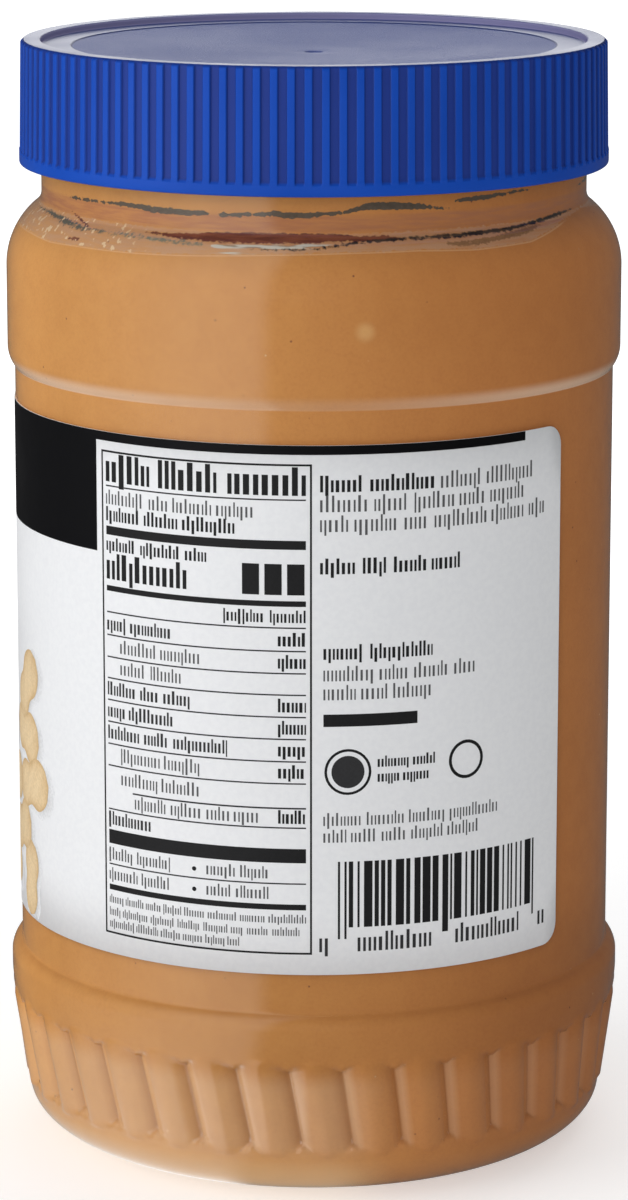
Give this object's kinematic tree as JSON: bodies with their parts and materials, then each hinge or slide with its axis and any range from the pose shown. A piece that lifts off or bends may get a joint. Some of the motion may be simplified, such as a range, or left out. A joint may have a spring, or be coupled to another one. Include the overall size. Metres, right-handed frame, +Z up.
{
  "type": "peanut butter jar",
  "caption": "Clear plastic jar of peanut butter with a fluted base, a recessed wrap label and a ribbed blue screw cap.",
  "frame": {"origin": "centre of the foot ring, on the surface that the jar stands on", "axes": "+Z up along the jar's axis, -Y towards the label's information panel, +X to the right of it"},
  "size_m": [0.0971, 0.0972, 0.1744],
  "materials": {
    "clear_jar": "clear glossy PET plastic",
    "peanut_butter": "smooth creamy peanut butter, satin",
    "label": "white printed film label, satin",
    "cap": "moulded blue polypropylene"
  },
  "bodies": {
    "root": {"jar": "clear_jar", "peanut_butter": "peanut_butter", "label": "label", "cap": "cap"}
  },
  "joints": []
}
